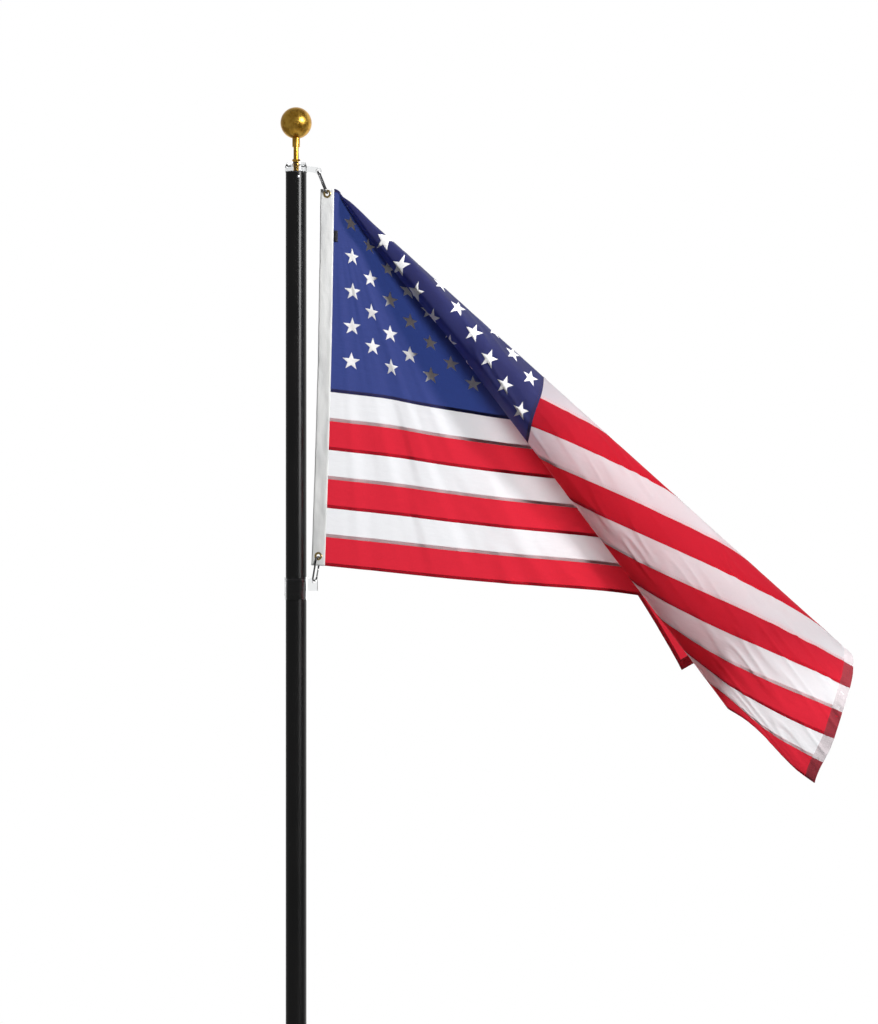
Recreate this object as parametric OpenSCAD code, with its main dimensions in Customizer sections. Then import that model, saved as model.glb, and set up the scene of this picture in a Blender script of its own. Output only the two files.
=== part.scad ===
// Sectional flagpole with a ball top, two free-turning clear rings and a folded cloth flag.
// Millimetres. Z is up, the foot is at z = 0 on the pole's axis, and the flag flies along +X.

/* [Pole] */
// Outside diameter of the tube
pole_d = 50.8; // [40:0.1:70]
// Wall of the tube
pole_wall = 1.65; // [1.2:0.05:3]
// Length of a section that shows
section_len = 1046; // [1040:1:1400]
// Number of sections
section_count = 5; // [5]
// Length of the necked end that enters the next section
neck_len = 90; // [60:1:140]
// Slip between a neck and the tube round it
neck_slip = 0.15; // [0.1:0.05:0.4]
// Depth of the plug in the top of the pole
plug_depth = 40; // [25:1:70]
// Height of the flange on the plug
plug_flange = 2; // [1:0.5:4]
// Depth of the plug that closes the foot
foot_plug_h = 14; // [8:1:40]
// Distance of the plug screw below the top
screw_drop = 12; // [8:1:25]
// Direction of the plug screw round the pole, in degrees from +X
screw_turn = -57; // [-90:1:-40]
// Radius of the screw head
screw_head_r = 3.4; // [2.5:0.1:5]
// Radius of the screw's shank
screw_r = 2; // [1.5:0.1:2.5]
// Length of the screw's shank inside the pole
screw_len = 13; // [8:0.5:15]

/* [Ball top] */
// Diameter of the ball
ball_d = 76.2; // [50:0.1:100]
// Height of the ball's centre above the pole
ball_rise = 122; // [110:1:135]
// Radius of the stem
stem_r = 6.35; // [5:0.05:7]
// Radius of the neck under the ball
neck_r = 9.2; // [8:0.1:12]
// Height of the underside of that neck above the pole
neck_rise = 63.5; // [55:0.5:75]
// Height of the stem nut
nut_h = 8; // [6:0.5:12]
// Radius of the stem nut over its corners
nut_r = 10.6; // [9.5:0.1:12]
// Depth of the stem's socket in the ball's neck
socket_depth = 24; // [18:0.5:28]

/* [Rings] */
// Height of the clear cap ring
cap_h = 22; // [18:0.5:24]
// Outside radius of the cap ring at its foot
cap_r = 27; // [26.5:0.1:30]
// Outside radius of the cap ring at its top
cap_top_r = 23.5; // [20:0.1:26]
// Wall of both rings
ring_wall = 2.4; // [2:0.1:4]
// Play between a ring and what it turns on
ring_play = 0.6; // [0.4:0.1:1]
// Height of the lower ring
low_ring_h = 44; // [36:1:60]
// Height of the lower ring's top above its eye
low_ring_over = 9; // [8:0.5:12]
// Height of the band under the lower ring
stop_h = 9; // [5:0.5:15]
// Gap above and below a ring that turns
ring_gap = 0.4; // [0.3:0.1:0.8]
// Thickness of the arms
arm_t = 3.6; // [3:0.1:4]
// Radius of the eyes in the arms
eye_r = 4.9; // [4.6:0.1:5.4]
// Width of the rim round an eye
eye_rim = 3.5; // [2.5:0.1:4]
// Distance of the upper eye from the pole's axis
eye_out = 57; // [52:0.1:62]

/* [Clips] */
// Length of a clip between its wire's end centres
clip_len = 58.7; // [50:0.1:70]
// Half the distance between a clip's two sides
clip_half = 6.2; // [6:0.1:8]
// Radius of the clip wire
wire_r = 2.1; // [1.8:0.1:2.4]
// Radius of the gate rod
gate_r = 1.9; // [1.5:0.1:2.1]
// Length of a gate
gate_len = 19; // [15:0.5:22]
// Distance of a gate's hinge end from the clip's ring end
gate_start = 10.5; // [9:0.5:14]
// Slack between the wire and the hole that it hangs in
clip_slack = 1; // [0.8:0.05:1.3]
// Turn of the lower clip about its own length
low_clip_roll = 154; // [150:1:180]
// Swing of the lower clip from the vertical
low_swing = 10; // [8:0.5:12]

/* [Flag] */
// Height of the flag along the hoist
hoist = 914.4; // [900:0.1:930]
// Length of the flag from the header's seam to the fly end
fly = 1500; // [1400:1:1520]
// Number of stripes
stripe_count = 13; // [13]
// Stripes beside the corner panel
canton_rows = 7; // [7]
// Width of the corner panel
canton_w = 632; // [590:1:650]
// Thickness of the cloth as modelled
cloth_t = 1; // [0.6:0.1:1.2]
// Width of the header
header_w = 35; // [30:1:40]
// Thickness of the header
header_t = 2; // [1.5:0.1:2.4]
// Distance of the header's seam from the pole's axis at the top
seam_out = 99; // [90:1:110]
// Distance of the flag's top corner below the pole's top
flag_drop = 43; // [40:1:50]
// Lean of the hoist from the vertical
hoist_lean = 1.5; // [1:0.1:2]
// Distance of a grommet from the header's nearer end
grommet_edge = 12; // [11:0.5:16]
// Distance of the lower grommet from the header's foot
grommet_foot = 23; // [20:0.5:30]
// Radius of a grommet's hole
grommet_hole = 4.9; // [4.6:0.1:5.4]
// Outside radius of a grommet
grommet_r = 10; // [9:0.5:12]

/* [Folds] */
// Drop of the cloth for each length flown
droop = 0.125; // [0.05:0.001:0.15]
// Growth of that drop over a metre
droop_more = -0.015; // [-0.05:0.001:0.05]
// Angle flown before the pleat
front_span = 45.1; // [43:0.1:47]
// Radius of the pleat's hidden fold, in degrees
hidden_fold = 0.65; // [0.6:0.05:0.8]
// Direction of the pleat's middle layer
pleat_turn = 182; // [180:0.5:184]
// Width of the pleat's middle layer
pleat_span = 4.4; // [3.5:0.1:5]
// Radius of the pleat's rim
rim_fold = 0.65; // [0.6:0.05:0.9]
// Direction of the outer part at the rim
rim_turn = 28; // [20:1:35]
// Radius of the outer part's round
outer_fold = 7.9; // [7:0.1:9]
// Direction of the outer part at the ridge
outer_turn = -45; // [-50:1:-40]
// Radius of the upper ridge
ridge_fold = 1.1; // [0.9:0.05:1.4]
// Direction of the layer behind at the ridge
back_turn = -108; // [-120:1:-100]
// Radius of the round of the layer behind
back_fold = 11; // [10:0.5:13]
// Angle that this round turns through
back_round = 115; // [90:1:120]
// Swell of the folds toward the fly end
swell = 0.5; // [0:0.05:0.8]
// Share by which the layer behind draws in toward the fly end
gather = 0.056; // [0:0.001:0.07]
// Reach from the top corner where it starts to draw in, and where it is full
gather_reach = [500, 1400]; // [300:10:1600]
// Bearings between which it does so
gather_bearing = [64, 80]; // [60:1:84]
// Bearings, from the front panel to the free edge, at which the folds drift
drift_bearing = [25, 44, 50, 55, 60, 66, 84]; // [20:1:90]
// Drift of the folds at those bearings, in degrees over a metre
fold_drift = [0, 9.9, 5.4, 0.4, 0, -0.4, -3.6]; // [-15:0.1:15]
// Distance from the top corner where the folds begin
fold_near = 20; // [10:1:40]
// Distance from the top corner where the folds are full
fold_far = 150; // [120:1:200]
// Rows of the corner panel near its top edge
near_rows = [8, 20, 42]; // [5:1:60]

/* [Finish] */
// Colour of the pole
pole_colour = "#1b1b1d";
// Colour of the ball
ball_colour = "#d9a441";
// Colour of the clear rings
clear_colour = "#e8eef2";

/* [Hidden] */
$fn = 48;

// slip of a piece that is pressed into its seat
seat = 0.05;
pole_r = pole_d / 2;
bore_r = pole_r - pole_wall;
neck_out = bore_r - neck_slip;
pole_top = section_len * section_count;
stripe = hoist / stripe_count;
cap_foot = plug_flange + ring_gap;
cap_top = cap_foot + cap_h;
low_in = pole_r + ring_play;

// hoist line in the XZ plane, as directions down the hoist and out along the fly
corner = [seam_out, 0, pole_top - flag_drop];
down = [-sin(hoist_lean), 0, -cos(hoist_lean)];
out = [cos(hoist_lean), 0, -sin(hoist_lean)];
high_hole = corner + down * grommet_edge - out * header_w / 2;
low_hole = corner + down * (hoist - grommet_foot) - out * header_w / 2;

// where the clips hang
hole_lag = grommet_hole - wire_r - clip_slack;
eye_lag = eye_r - wire_r - clip_slack;
high_reach = clip_len + hole_lag + eye_lag;
high_eye_dx = high_hole[0] - eye_out;
high_eye = [eye_out, 0, high_hole[2] + sqrt(pow(high_reach, 2) - pow(high_eye_dx, 2))];
high_dir = (high_hole - high_eye) / high_reach;
low_dir = [sin(low_swing), 0, cos(low_swing)];
low_eye = low_hole - low_dir * high_reach;
low_top = low_eye[2] + low_ring_over;
low_foot = low_top - low_ring_h;

// pole: each section is a tube, and all but the last end in a neck
module pole_tube(last) {
    rotate_extrude()
        if (last)
            translate([bore_r, 0]) square([pole_wall, section_len]);
        else
            polygon([[bore_r, 0], [pole_r, 0], [pole_r, section_len], [neck_out, section_len],
                [neck_out, section_len + neck_len - 2], [neck_out - 1, section_len + neck_len],
                [neck_out - pole_wall, section_len + neck_len],
                [neck_out - pole_wall, section_len - 4], [bore_r, section_len - 10]]);
}
module pole_section(n) {
    color(pole_colour)
        translate([0, 0, (n - 1) * section_len])
            if (n == section_count)
                difference() {
                    pole_tube(true);
                    screw_place(section_len)
                        cylinder(r = screw_r + 2 * seat, h = pole_wall * 4, center = true);
                }
            else
                pole_tube(false);
}
module screw_place(top) {
    rotate([0, 0, screw_turn]) translate([pole_r, 0, top - screw_drop]) rotate([0, 90, 0]) children();
}
module foot_plug() {
    color("#2a2a2c") cylinder(r = bore_r - seat, h = foot_plug_h);
}
module top_plug() {
    color("#2a2a2c")
        translate([0, 0, pole_top])
            difference() {
                union() {
                    translate([0, 0, -plug_depth]) cylinder(r = bore_r - seat, h = plug_depth);
                    cylinder(r = pole_r, h = plug_flange);
                }
                translate([0, 0, -plug_depth - 1])
                    cylinder(r = stem_r + seat, h = plug_depth + plug_flange + 2);
                screw_place(0)
                    translate([0, 0, -screw_len - 1]) cylinder(r = screw_r + seat, h = screw_len + 1);
            }
}
module plug_screw() {
    color("#c9ccd0")
        screw_place(pole_top) {
            translate([0, 0, -screw_len]) cylinder(r = screw_r, h = screw_len + 0.4);
            translate([0, 0, 0.3])
                rotate_extrude()
                    polygon([[0, 0], [screw_head_r, 0], [screw_head_r, 0.9], [screw_head_r - 0.9, 1.9],
                        [0, 2.2]]);
        }
}

// ball top
module finial_stem() {
    color(ball_colour)
        translate([0, 0, pole_top - plug_depth + 4])
            cylinder(r = stem_r, h = plug_depth - 4 + neck_rise + socket_depth);
}
module finial_nut() {
    color(ball_colour)
        translate([0, 0, pole_top + cap_top + ring_gap])
            difference() {
                union() {
                    cylinder(r = nut_r - 0.4, h = 1.6);
                    cylinder(r = nut_r, h = nut_h, $fn = 6);
                }
                translate([0, 0, -1]) cylinder(r = stem_r + seat, h = nut_h + 2);
            }
}
module finial_ball() {
    color(ball_colour)
        translate([0, 0, pole_top])
            difference() {
                union() {
                    translate([0, 0, ball_rise]) sphere(d = ball_d);
                    translate([0, 0, neck_rise]) cylinder(r = neck_r, h = ball_rise - neck_rise - 28);
                }
                translate([0, 0, neck_rise - 1]) cylinder(r = stem_r + seat, h = socket_depth + 1.2);
            }
}

// clear rings, each with an arm and an eye
module arm_plate() {
    rotate([90, 0, 0]) linear_extrude(height = arm_t, center = true) children();
}
module top_ring() {
    color(clear_colour, 0.5) {
        ez = high_eye[2];
        base = pole_top + cap_foot;
        difference() {
            union() {
                translate([0, 0, base])
                    rotate_extrude()
                        polygon([[cap_r - ring_wall, 0], [cap_r, 0], [cap_r, cap_h * 0.55],
                            [cap_top_r, cap_h], [stem_r + ring_play, cap_h], [stem_r + ring_play, cap_h - 5],
                            [cap_top_r - ring_wall - 1, cap_h - 5], [cap_r - ring_wall, cap_h * 0.45]]);
                arm_plate()
                    union() {
                        polygon([[cap_r - 1, base + 1], [cap_r - 1, base + cap_h * 0.6],
                            [eye_out, ez + eye_r + eye_rim], [eye_out, ez - eye_r - 1]]);
                        translate([eye_out, ez]) circle(r = eye_r + eye_rim);
                    }
            }
            arm_plate_hole([eye_out, ez]);
        }
    }
}
module arm_plate_hole(at) {
    translate([at[0], 0, at[1]]) rotate([90, 0, 0]) cylinder(r = eye_r, h = arm_t + 2, center = true);
}
module lower_ring() {
    color(clear_colour, 0.5) {
        wall = low_in + ring_wall;
        difference() {
            union() {
                translate([0, 0, low_foot])
                    rotate_extrude()
                        polygon([[low_in, 0], [wall + 0.5, 0], [wall + 0.5, 3], [wall, 3.5],
                            [wall, low_ring_h - 5], [wall + 1, low_ring_h - 4], [wall + 1, low_ring_h],
                            [low_in, low_ring_h]]);
                arm_plate()
                    union() {
                        polygon([[wall - 0.8, low_foot + 12], [low_eye[0] + eye_r + eye_rim, low_foot + 12],
                            [low_eye[0] + eye_r + eye_rim, low_eye[2]],
                            [low_eye[0], low_eye[2] + eye_r + eye_rim],
                            [wall - 0.8, low_eye[2] + eye_r + 1]]);
                        translate([low_eye[0], low_eye[2]]) circle(r = eye_r + eye_rim);
                    }
            }
            arm_plate_hole([low_eye[0], low_eye[2]]);
        }
    }
}
module ring_stop() {
    color(clear_colour, 0.5)
        translate([0, 0, low_foot - ring_gap - stop_h])
            rotate_extrude() translate([pole_r + seat, 0]) square([ring_wall, stop_h]);
}

// clips: a wire loop with one long side open, and a rod that closes it
module clip_place(at, dir, roll) {
    translate(at) rotate([0, atan2(dir[0], dir[2]), 0]) rotate([0, 0, roll]) children();
}
module clip_loop() {
    gap_a = gate_start - 0.5;
    gap_b = gate_start + gate_len + 0.5;
    for (end = [0, 1])
        translate([0, 0, end ? clip_len - clip_half : clip_half])
            rotate([end ? 0 : 180, 0, 0]) rotate([90, 0, 90])
                rotate_extrude(angle = 180) translate([clip_half, 0]) circle(r = wire_r);
    translate([0, clip_half, clip_half]) cylinder(r = wire_r, h = clip_len - 2 * clip_half);
    translate([0, -clip_half, clip_half]) cylinder(r = wire_r, h = gap_a - clip_half);
    translate([0, -clip_half, gap_b]) cylinder(r = wire_r, h = clip_len - clip_half - gap_b);
}
module clip_gate() {
    translate([0, -clip_half, gate_start]) {
        translate([0, 0, gate_r]) cylinder(r = gate_r, h = gate_len - 2 * gate_r);
        for (z = [gate_r, gate_len - gate_r]) translate([0, 0, z]) sphere(r = gate_r);
        translate([0, 0, gate_r])
            rotate([0, 90, 0]) cylinder(r = gate_r / 2, h = 2 * gate_r + 1, center = true);
    }
}
high_clip_at = high_eye + high_dir * eye_lag;
low_clip_at = low_eye + low_dir * eye_lag;
module upper_clip_body() { color("#3a3b3e") clip_place(high_clip_at, high_dir, 0) clip_loop(); }
module upper_clip_gate() { color("#c9ccd0") clip_place(high_clip_at, high_dir, 0) clip_gate(); }
module lower_clip_body() { color("#3a3b3e") clip_place(low_clip_at, low_dir, low_clip_roll) clip_loop(); }
module lower_clip_gate() { color("#c9ccd0") clip_place(low_clip_at, low_dir, low_clip_roll) clip_gate(); }

// header and its grommets
module grommet(at) {
    color("#c8a24a")
        translate(at)
            rotate([90, 0, 0])
                rotate_extrude()
                    polygon([[grommet_hole, -header_t / 2 - 0.6], [grommet_r - 0.6, -header_t / 2 - 0.6],
                        [grommet_r, -header_t / 2], [grommet_hole + 1.6, -header_t / 2],
                        [grommet_hole + 1.6, header_t / 2], [grommet_r, header_t / 2],
                        [grommet_r - 0.6, header_t / 2 + 0.6], [grommet_hole, header_t / 2 + 0.6]]);
}
module upper_grommet() { grommet(high_hole); }
module lower_grommet() { grommet(low_hole); }
module flag_header() {
    color("#f2f0ea")
        difference() {
            translate(corner) rotate([90, hoist_lean, 0])
                linear_extrude(height = header_t, center = true)
                    translate([-header_w, -hoist]) square([header_w, hoist]);
            for (at = [high_hole, low_hole])
                translate(at)
                    rotate([90, 0, 0]) cylinder(r = grommet_hole + 1.65, h = header_t * 3, center = true);
        }
}

// cloth: the folds are rulings through the top corner, so the cloth bends without stretching
function sag(s) = s * (droop + droop_more * s / 1000);
function reach(s, t) = norm([s, t + sag(s)]);
function bearing(s, t) = s == 0 && t == 0 ? 85 : atan2(s, t + sag(s));
function ease(lo, hi, x) = let (q = min(max((x - lo) / (hi - lo), 0), 1)) q * q * (3 - 2 * q);
function heading(q) = [cos(q[1]) * sin(q[0]), -sin(q[1]), -cos(q[1]) * cos(q[0])];
function along(p, h, d, n) = [for (i = [1:n]) p + d * i / n * [cos(h), sin(h)]];
function round_to(p, h, g, r, n) =
    let (w = g > h ? 1 : -1, c = p + w * r * [-sin(h), cos(h)])
    [for (i = [1:n]) let (a = h + (g - h) * i / n) c + w * r * [sin(a), -cos(a)]];
function last(v) = v[len(v) - 1];

leg_1 = along([-hoist_lean, 0], 0, front_span, 4);
bend_1 = round_to(last(leg_1), 0, pleat_turn, hidden_fold, 7);
leg_2 = along(last(bend_1), pleat_turn, pleat_span, 2);
bend_2 = round_to(last(leg_2), pleat_turn, rim_turn, rim_fold, 6);
bend_3 = round_to(last(bend_2), rim_turn, outer_turn, outer_fold, 6);
bend_4 = round_to(last(bend_3), outer_turn, back_turn, ridge_fold, 4);
bend_5 = round_to(last(bend_4), back_turn, back_turn - back_round, back_fold, 8);
leg_3 = along(last(bend_5), back_turn - back_round, 6, 1);
trail = concat([[-hoist_lean, 0]], leg_1, bend_1, leg_2, bend_2, bend_3, bend_4, bend_5, leg_3);
function gone(i) = i == 0 ? 0 : gone(i - 1) + 2 * asin(norm(heading(trail[i]) - heading(trail[i - 1])) / 2);
marks = [for (i = [0:len(trail) - 1]) gone(i)];
swing_at = [for (i = [0:len(trail) - 1]) [marks[i], trail[i][0]]];
lift_at = [for (i = [0:len(trail) - 1]) [marks[i], trail[i][1]]];

// the fold lines drift a little from the rulings, which balance at drift_mid from the corner
drift_mid = hoist;
drift_at = [for (i = [0:len(fold_drift) - 1]) [drift_bearing[i], fold_drift[i]]];
function shift(b, r) = lookup(b, drift_at) * (r - drift_mid) / 1000;
function passed(s, t) =
    let (r = reach(s, t), b = bearing(s, t)) b + ease(fold_near, fold_far, r) * shift(b, r);
function drawn_in(r, e) =
    r * (1 - gather * ease(gather_reach[0], gather_reach[1], r)
        * ease(gather_bearing[0], gather_bearing[1], e));
function cloth(s, t) =
    let (r = reach(s, t), b = bearing(s, t), w = ease(fold_near, fold_far, r), e = passed(s, t))
    corner + drawn_in(r, e) * heading([(1 - w) * (b - hoist_lean) + w * lookup(e, swing_at),
        w * lookup(e, lift_at) * (1 + swell * pow(r / (hoist + fly) * sqrt(2), 2))]);
function facing(s, t) =
    let (a = cloth(s + 0.5, t) - cloth(max(s - 0.5, 0), t),
        b = cloth(s, t + 0.5) - cloth(s, max(t - 0.5, 0)), n = cross(b, a))
    n / norm(n);

// a row of cloth is sampled where it meets the rulings, and points this near to another are left out
row_gap = 4;
function meets(b, t) =
    let (k = tan(b), m = 1 - droop * k, q = droop_more * k / 1000, g = m * m - 4 * q * k * t)
    b > 84 || m <= 0 || g < 0 ? 1e6 : 2 * k * t / (m + sqrt(g));
function settles(mark, b, t, n) =
    let (s = meets(b, t), r = reach(s, t))
    n == 0 || s > 9e5 ? s : settles(mark, mark - ease(fold_near, fold_far, r) * shift(b, r), t, n - 1);
top_steps = [15, 30, 50, 75, 105, 140, 180, 240, 320, 420, 520, 760, 900, 1050, 1200, 1350];
function row(t, a, b) =
    let (mid = t == 0 ? top_steps : [for (m = marks) if (m > 0) settles(m, m, t, 40)])
    concat([a], [for (s = mid) if (s > a + row_gap && s < b - row_gap && abs(s - canton_w) > row_gap) s],
        a < canton_w && b > canton_w ? [canton_w] : [], [b]);
function sorted(v) =
    len(v) < 2 ? v : let (p = v[floor(len(v) / 2)])
    concat(sorted([for (x = v) if (x < p) x]), [p], sorted([for (x = v) if (x > p) x]));
function zip(a, b, i, j) =
    i == len(a) - 1 && j == len(b) - 1 ? [] :
    j == len(b) - 1 || (i < len(a) - 1 && a[i + 1] <= b[j + 1]) ?
        concat([[0, i, j]], zip(a, b, i + 1, j)) : concat([[1, i, j]], zip(a, b, i, j + 1));
module sheet(rows, a, b) {
    pick = [for (t = rows) sorted(row(t, a, b))];
    count = [for (v = pick) len(v)];
    base = [for (r = [0:len(rows)]) r == 0 ? 0 : sum_to(count, r)];
    total = last(base);
    flat = [for (r = [0:len(rows) - 1]) for (s = pick[r]) [s, rows[r]]];
    front = [for (q = flat) cloth(q[0], q[1]) + facing(q[0], q[1]) * cloth_t / 2];
    back = [for (q = flat) cloth(q[0], q[1]) - facing(q[0], q[1]) * cloth_t / 2];
    key = [for (r = [0:len(rows) - 1]) [for (s = pick[r]) passed(s, rows[r])]];
    tris = [for (r = [0:len(rows) - 2])
        for (z = rows[r] == 0 ? zip(pick[r], pick[r + 1], 0, 0) : zip(key[r], key[r + 1], 0, 0))
            let (p = base[r] + z[1], q = base[r + 1] + z[2]) z[0] == 0 ? [p, p + 1, q] : [p, q + 1, q]];
    rim = concat([for (i = [0:count[0] - 1]) i],
        [for (r = [1:len(rows) - 1]) base[r] + count[r] - 1],
        [for (i = [1:last(count) - 1]) total - 1 - i],
        len(rows) > 2 ? [for (r = [len(rows) - 2:-1:1]) base[r]] : []);
    turned = count[0] + len(rows) - 2;
    wall = [for (i = [0:len(rim) - 1]) let (p = rim[i], q = rim[(i + 1) % len(rim)])
        for (f = i < turned ? [[p, p + total, q + total], [p, q + total, q]] :
            [[p, p + total, q], [p + total, q + total, q]]) f];
    polyhedron(concat(front, back),
        concat(tris, [for (f = tris) [f[2] + total, f[1] + total, f[0] + total]], wall));
}
function sum_to(v, n) = n == 0 ? 0 : sum_to(v, n - 1) + v[n - 1];

module flag_canton() {
    color("#2f3f86")
        sheet(concat([0], near_rows, [for (n = [1:canton_rows]) n * stripe]), 0, canton_w);
}
module stripe_piece(n) {
    color(n % 2 == 1 ? "#c3203a" : "#f1f1f3")
        sheet([(n - 1) * stripe, n * stripe], n > canton_rows ? 0 : canton_w, fly);
}

pole_section(1);  // pole_section_1
pole_section(2);  // pole_section_2
pole_section(3);  // pole_section_3
pole_section(4);  // pole_section_4
pole_section(5);  // pole_section_5
foot_plug();
top_plug();
plug_screw();
finial_stem();
finial_nut();
finial_ball();
ring_stop();
top_ring();
lower_ring();
upper_clip_body();
upper_clip_gate();
lower_clip_body();
lower_clip_gate();
upper_grommet();
lower_grommet();
flag_header();
flag_canton();
stripe_piece(1);  // stripe_01
stripe_piece(2);  // stripe_02
stripe_piece(3);  // stripe_03
stripe_piece(4);  // stripe_04
stripe_piece(5);  // stripe_05
stripe_piece(6);  // stripe_06
stripe_piece(7);  // stripe_07
stripe_piece(8);  // stripe_08
stripe_piece(9);  // stripe_09
stripe_piece(10);  // stripe_10
stripe_piece(11);  // stripe_11
stripe_piece(12);  // stripe_12
stripe_piece(13);  // stripe_13
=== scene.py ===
# Flagpole with a ball top and a folded stars-and-stripes flag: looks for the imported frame.
import math

import bpy
import numpy as np
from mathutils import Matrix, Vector, geometry


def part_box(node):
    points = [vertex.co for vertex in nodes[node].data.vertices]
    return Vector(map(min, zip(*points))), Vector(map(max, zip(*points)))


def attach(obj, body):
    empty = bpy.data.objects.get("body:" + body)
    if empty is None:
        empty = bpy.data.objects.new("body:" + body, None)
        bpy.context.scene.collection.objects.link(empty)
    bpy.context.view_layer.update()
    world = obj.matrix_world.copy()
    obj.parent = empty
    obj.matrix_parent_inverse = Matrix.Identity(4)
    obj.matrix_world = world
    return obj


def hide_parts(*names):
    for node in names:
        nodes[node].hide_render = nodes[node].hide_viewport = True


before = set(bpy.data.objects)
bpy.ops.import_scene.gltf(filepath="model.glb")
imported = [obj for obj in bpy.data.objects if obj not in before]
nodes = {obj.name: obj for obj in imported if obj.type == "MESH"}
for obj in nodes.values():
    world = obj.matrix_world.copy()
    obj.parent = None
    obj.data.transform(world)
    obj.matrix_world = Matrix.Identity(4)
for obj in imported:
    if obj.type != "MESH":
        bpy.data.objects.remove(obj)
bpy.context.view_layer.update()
scene = bpy.context.scene
scene.view_settings.view_transform = "Standard"
print("frame loaded:", len(nodes), "nodes")

# view of the photograph: level, a little toward the fly from square on
viewPoint = {"azimuth": 18.0, "distance": 5.425, "aside": 0.3484, "height": 4.4036, "focalPixels": 2225}
photoHeight = 1024
sensorLength = 36.0


def makeCamera(view):
    turn = math.radians(view["azimuth"])
    across = Vector((math.cos(turn), math.sin(turn), 0))
    ahead = Vector((-math.sin(turn), math.cos(turn), 0))
    data = bpy.data.cameras.new("photoCamera")
    data.sensor_width = sensorLength
    data.lens = sensorLength * view["focalPixels"] / photoHeight
    data.clip_end = 100
    camera = bpy.data.objects.new("photoCamera", data)
    camera.location = across * view["aside"] - ahead * view["distance"] + Vector((0, 0, view["height"]))
    camera.rotation_euler = (math.pi / 2, 0, turn)
    scene.collection.objects.link(camera)
    scene.camera = camera


makeCamera(viewPoint)
print("camera set")


# a socket of a finish: sums on it add Math nodes
class Wire:
    def __init__(self, finish, socket):
        self.finish = finish
        self.socket = socket

    def sum(self, operation, first, second):
        return self.finish.add("Math", {"operation": operation}, (first, second))

    def __add__(self, other):
        return self.sum("ADD", self, other)

    def __radd__(self, other):
        return self.sum("ADD", other, self)

    def __sub__(self, other):
        return self.sum("SUBTRACT", self, other)

    def __rsub__(self, other):
        return self.sum("SUBTRACT", other, self)

    def __mul__(self, other):
        return self.sum("MULTIPLY", self, other)

    def __rmul__(self, other):
        return self.sum("MULTIPLY", other, self)

    def __pow__(self, other):
        return self.sum("POWER", self, other)

    def ramp(self, low, high, toLow=0.0, toHigh=1.0):
        settings = {"interpolation_type": "SMOOTHSTEP"}
        return self.finish.add("MapRange", settings, (self, low, high, toLow, toHigh))


class Finish:
    def __init__(self, owner):
        owner.use_nodes = True
        self.owner = owner
        self.tree = owner.node_tree
        self.tree.nodes.clear()

    # any node: its type, its settings, then the values or links of its sockets
    def add(self, kind, settings=None, sockets=(), out=0):
        node = self.tree.nodes.new("ShaderNode" + kind)
        for name, value in (settings or {}).items():
            setattr(node, name, value)
        for key, value in sockets.items() if isinstance(sockets, dict) else enumerate(sockets):
            if isinstance(value, Wire):
                self.tree.links.new(value.socket, node.inputs[key])
            else:
                node.inputs[key].default_value = value
        return Wire(self, node.outputs[out]) if node.outputs else None

    def tint(self, factor, first, second):
        return self.add("Mix", {"data_type": "RGBA"}, {0: factor, 6: first, 7: second}, 2)

    def place(self):
        return self.add("TexCoord", out=3)

    def stretched(self, vector, scale):
        return self.add("VectorMath", {"operation": "MULTIPLY"}, (vector, scale))

    def noise(self, vector, scale, detail=3.0, rough=0.55):
        sockets = {"Vector": vector, "Scale": scale, "Detail": detail, "Roughness": rough}
        return self.add("TexNoise", {}, sockets)

    def bump(self, height, strength, depth):
        return self.add("Bump", {}, {"Height": height, "Strength": strength, "Distance": depth})

    def principled(self, sockets):
        return self.add("BsdfPrincipled", {}, sockets)

    def show(self, shader):
        self.add("OutputMaterial", {}, {"Surface": shader})
        return self.owner


def newFinish(name):
    return Finish(bpy.data.materials.new(name))


def rgb(red, green, blue):
    return (red, green, blue, 1.0)


# black coated tube: faint draw lines along it, smudges, rubbed spots
def poleFinish():
    finish = newFinish("poleBlackCoat")
    place = finish.place()
    drawn = finish.noise(finish.stretched(place, (900, 900, 6)), 1.0, 2.0)
    smudge = finish.noise(finish.stretched(place, (14, 14, 5)), 1.0, 4.0)
    speck = finish.noise(place, 700.0, 1.0).ramp(0.72, 0.8)
    colour = finish.tint(smudge.ramp(0.35, 0.7), rgb(0.002, 0.002, 0.0021), rgb(0.004, 0.0037, 0.0037))
    colour = finish.tint(speck * 0.25, colour, rgb(0.06, 0.058, 0.055))
    return finish.show(finish.principled({
        "Base Color": colour,
        "Roughness": 0.18 + drawn * 0.05 + smudge * 0.06,
        "Specular IOR Level": 0.42,
        "Normal": finish.bump(drawn, 0.12, 0.0004),
    }))


def plugFinish():
    finish = newFinish("plugMoulded")
    place = finish.place()
    grain = finish.noise(place, 900.0, 2.0)
    colour = finish.tint(finish.noise(place, 60.0), rgb(0.016, 0.016, 0.017), rgb(0.03, 0.03, 0.031))
    return finish.show(finish.principled({
        "Base Color": colour, "Roughness": 0.5 + grain * 0.2, "Normal": finish.bump(grain, 0.2, 0.0003)}))


# gold: spun lines round the axis, cloudy tone, dull patches
goldLook = {"light": rgb(0.92, 0.54, 0.09), "dark": rgb(0.56, 0.28, 0.03), "dull": rgb(0.74, 0.44, 0.08)}


def goldFinish(look):
    finish = newFinish("goldSpun")
    place = finish.place()
    spun = finish.noise(finish.stretched(place, (30, 30, 1400)), 1.0, 2.0)
    cloud = finish.noise(place, 46.0, 4.0, 0.6)
    patch = finish.noise(place, 120.0, 3.0)
    colour = finish.tint(cloud.ramp(0.38, 0.62), look["dark"], look["light"])
    colour = finish.tint(patch.ramp(0.55, 0.75) * 0.6, colour, look["dull"])
    return finish.show(finish.principled({
        "Base Color": colour,
        "Metallic": 1.0,
        "Roughness": 0.16 + cloud * 0.16 + patch * 0.1,
        "Normal": finish.bump(spun * 0.6 + cloud, 0.16, 0.0008),
    }))


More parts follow.
